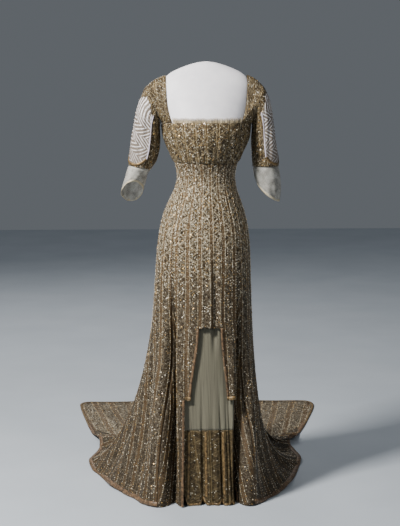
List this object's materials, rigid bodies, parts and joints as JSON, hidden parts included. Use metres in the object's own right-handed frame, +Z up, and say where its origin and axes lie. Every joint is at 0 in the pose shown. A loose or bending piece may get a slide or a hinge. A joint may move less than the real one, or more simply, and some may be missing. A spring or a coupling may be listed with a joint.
{
  "type": "ball gown on dress form",
  "caption": "Trained ball gown of striped beaded net with lace sleeves and a split overskirt over an embroidered underskirt, on a limbless dress form on a pole stand.",
  "frame": {"origin": "middle of the underside of the stand's base, on the floor", "axes": "+Z up; the gown faces -Y, so its train lies towards +Y; +X is to the right as seen from the front"},
  "size_m": [0.9557, 1.4125, 1.411],
  "materials": {
    "striped_net": "brown and gold striped net with beads and sequins",
    "pale_lace": "white linear lace",
    "sheer_net": "sheer pale tulle",
    "chiffon": "soft grey-green chiffon",
    "form": "smooth matt white",
    "stand": "satin black"
  },
  "bodies": {
    "root": {"dress_form": "form", "stand": "stand", "bodice_front": "striped_net", "bodice_back": "striped_net", "neck_frill": "sheer_net", "overskirt_front": "striped_net", "overskirt_side_left": "striped_net", "overskirt_side_right": "striped_net", "overskirt_back_left": "striped_net", "overskirt_back_right": "striped_net", "train": "striped_net", "underskirt_front": "chiffon", "underskirt_border": "striped_net", "shoulder_left": "striped_net", "shoulder_right": "striped_net", "sleeve_left": "striped_net", "sleeve_right": "striped_net", "sleeve_lace_left": "pale_lace", "sleeve_lace_right": "pale_lace", "cuff_left": "sheer_net", "cuff_right": "sheer_net"}
  },
  "joints": []
}
